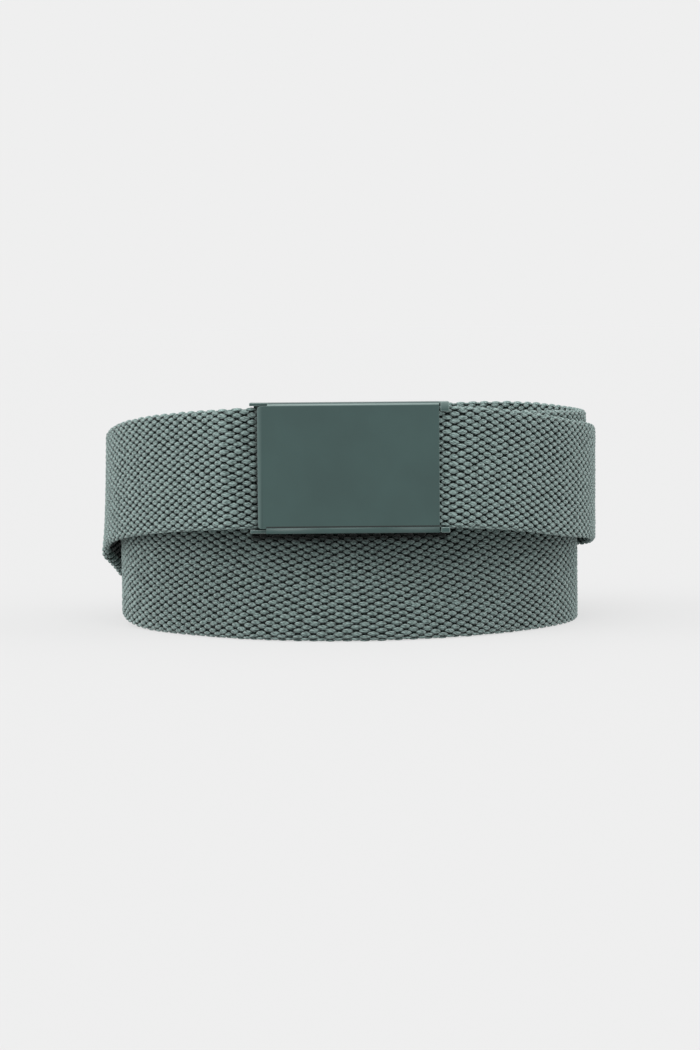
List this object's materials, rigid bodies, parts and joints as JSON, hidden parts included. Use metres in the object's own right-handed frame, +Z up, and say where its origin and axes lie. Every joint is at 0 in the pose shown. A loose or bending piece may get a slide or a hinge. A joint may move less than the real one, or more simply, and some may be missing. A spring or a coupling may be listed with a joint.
{
  "type": "canvas web belt, rolled up, with a plate buckle",
  "caption": "Thick woven canvas web belt, fastened through a plain painted plate buckle and rolled up in overlapping turns.",
  "frame": {"origin": "on the floor, under the middle of the rolled belt's box", "axes": "+Z up, out of the roll; -Y to the front, out of the buckle's plate; +X to the right along the buckle"},
  "size_m": [0.166, 0.162, 0.0749],
  "materials": {
    "webbing": "thick cotton basket weave, matt, with darker gaps between the yarns",
    "painted_metal": "satin dark sage paint on pressed steel",
    "bare_steel": "plain hidden steel"
  },
  "bodies": {
    "root": {"web": "webbing", "buckle_frame": "painted_metal", "face_plate": "painted_metal", "lock_pin": "bare_steel", "clamp_bar": "bare_steel"}
  },
  "joints": []
}
